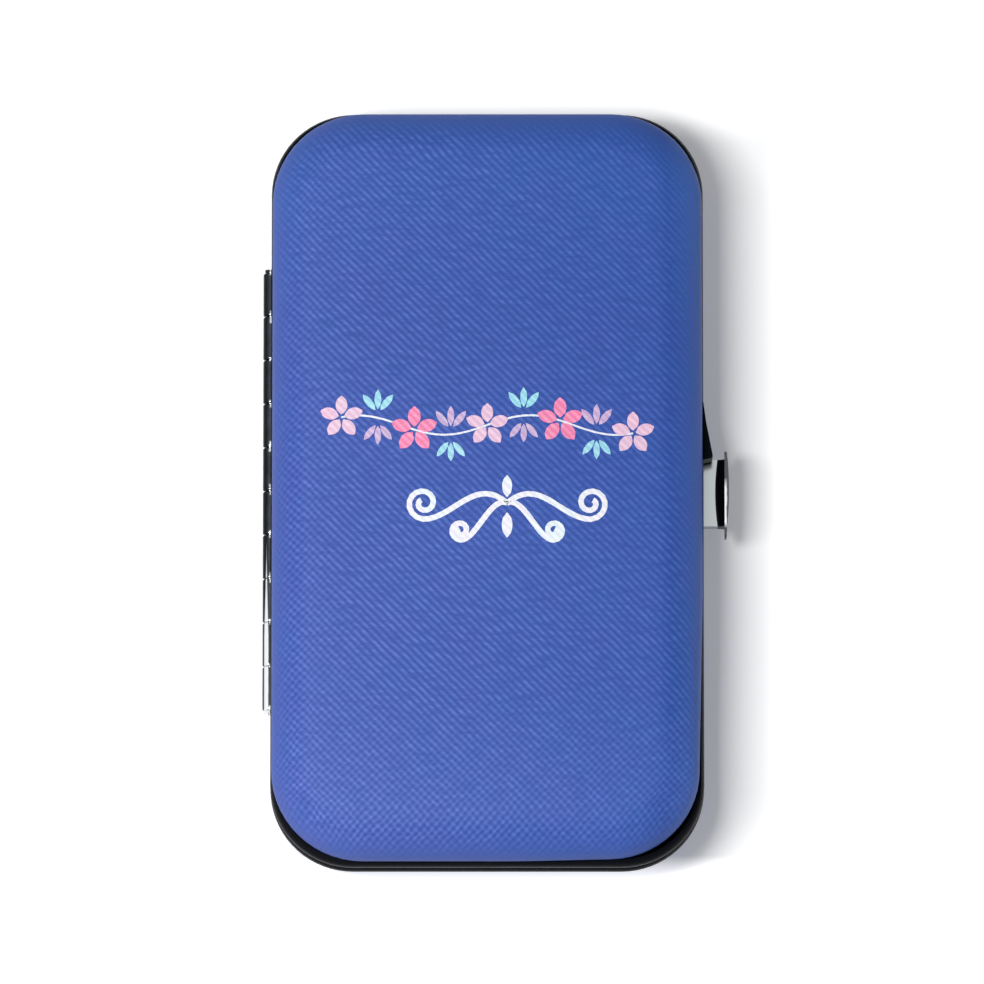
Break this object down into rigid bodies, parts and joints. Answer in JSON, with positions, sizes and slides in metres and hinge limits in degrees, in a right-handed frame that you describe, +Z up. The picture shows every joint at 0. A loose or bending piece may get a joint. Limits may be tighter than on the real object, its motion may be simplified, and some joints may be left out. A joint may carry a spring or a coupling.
{
  "type": "manicure set case",
  "caption": "Padded clamshell case with crimped steel rims, a piano hinge and a push-button clasp, holding clippers, tweezers, a file and a cuticle pusher in elastic loops.",
  "frame": {"origin": "centre of the flat face the case rests on", "axes": "+X towards the push-button clasp, +Y along the case to its far end, +Z up through the lid"},
  "size_m": [0.0706, 0.1162, 0.0225],
  "materials": {
    "cover": "cross-grained coated fabric, soft sheen",
    "foam": "open foam",
    "board": "plain",
    "lining": "short nap",
    "elastic": "ribbed weave",
    "frame": "gloss black",
    "bright_steel": "bright plated",
    "hinge_steel": "dark bright plating",
    "plain_steel": "plain",
    "tool_steel": "polished",
    "handle": "satin"
  },
  "bodies": {
    "base": {"base_cover": "cover", "base_padding": "foam", "base_board": "board", "base_lining": "lining", "base_frame": "frame", "base_hinge_leaf": "hinge_steel", "hinge_pin": "hinge_steel", "latch_spring": "plain_steel", "latch_rivets": "plain_steel", "tray_foam": "foam", "tray_board": "board", "tray_facing": "lining", "strap_far": "elastic", "strap_near": "elastic"},
    "lid": {"lid_cover": "cover", "lid_padding": "foam", "lid_board": "board", "lid_lining": "lining", "lid_frame": "frame", "lid_hinge_leaf": "hinge_steel", "catch_plate": "bright_steel", "catch_rivets": "plain_steel"},
    "push_button": {"button_stem": "bright_steel", "button_face": "bright_steel"},
    "toenail_clipper": {"toenail_clipper_lower_arm": "tool_steel", "toenail_clipper_upper_arm": "tool_steel", "toenail_clipper_lever": "bright_steel", "toenail_clipper_pin": "bright_steel"},
    "nail_clipper": {"nail_clipper_lower_arm": "tool_steel", "nail_clipper_upper_arm": "tool_steel", "nail_clipper_lever": "bright_steel", "nail_clipper_pin": "bright_steel"},
    "tweezers": {"tweezers_lower_arm": "tool_steel", "tweezers_upper_arm": "tool_steel"},
    "nail_file": {"file_blade": "tool_steel", "file_handle": "handle"},
    "cuticle_pusher": {"cuticle_pusher": "tool_steel"}
  },
  "joints": [
    {"name": "lid_hinge", "type": "hinge", "parent": "base", "child": "lid", "pos_m": [-0.0329, 0, 0.0111], "axis": [0, -1, 0], "range_deg": [0, 170], "deforming": ["latch_spring"]},
    {"name": "button_press", "type": "slide", "parent": "base", "child": "push_button", "axis": [-1, 0, 0], "range_m": [0, 0.0015], "stiffness_N_per_m": 1200, "deforming": ["latch_spring"]},
    {"name": "toenail_clipper_slide", "type": "slide", "parent": "base", "child": "toenail_clipper", "axis": [0, 1, 0], "range_m": [-0.003, 0.003]},
    {"name": "nail_clipper_slide", "type": "slide", "parent": "base", "child": "nail_clipper", "axis": [0, 1, 0], "range_m": [-0.003, 0.003]},
    {"name": "tweezers_slide", "type": "slide", "parent": "base", "child": "tweezers", "axis": [0, 1, 0], "range_m": [-0.003, 0.003]},
    {"name": "nail_file_slide", "type": "slide", "parent": "base", "child": "nail_file", "axis": [0, 1, 0], "range_m": [-0.003, 0.003]},
    {"name": "cuticle_pusher_slide", "type": "slide", "parent": "base", "child": "cuticle_pusher", "axis": [0, 1, 0], "range_m": [-0.003, 0.003]}
  ]
}
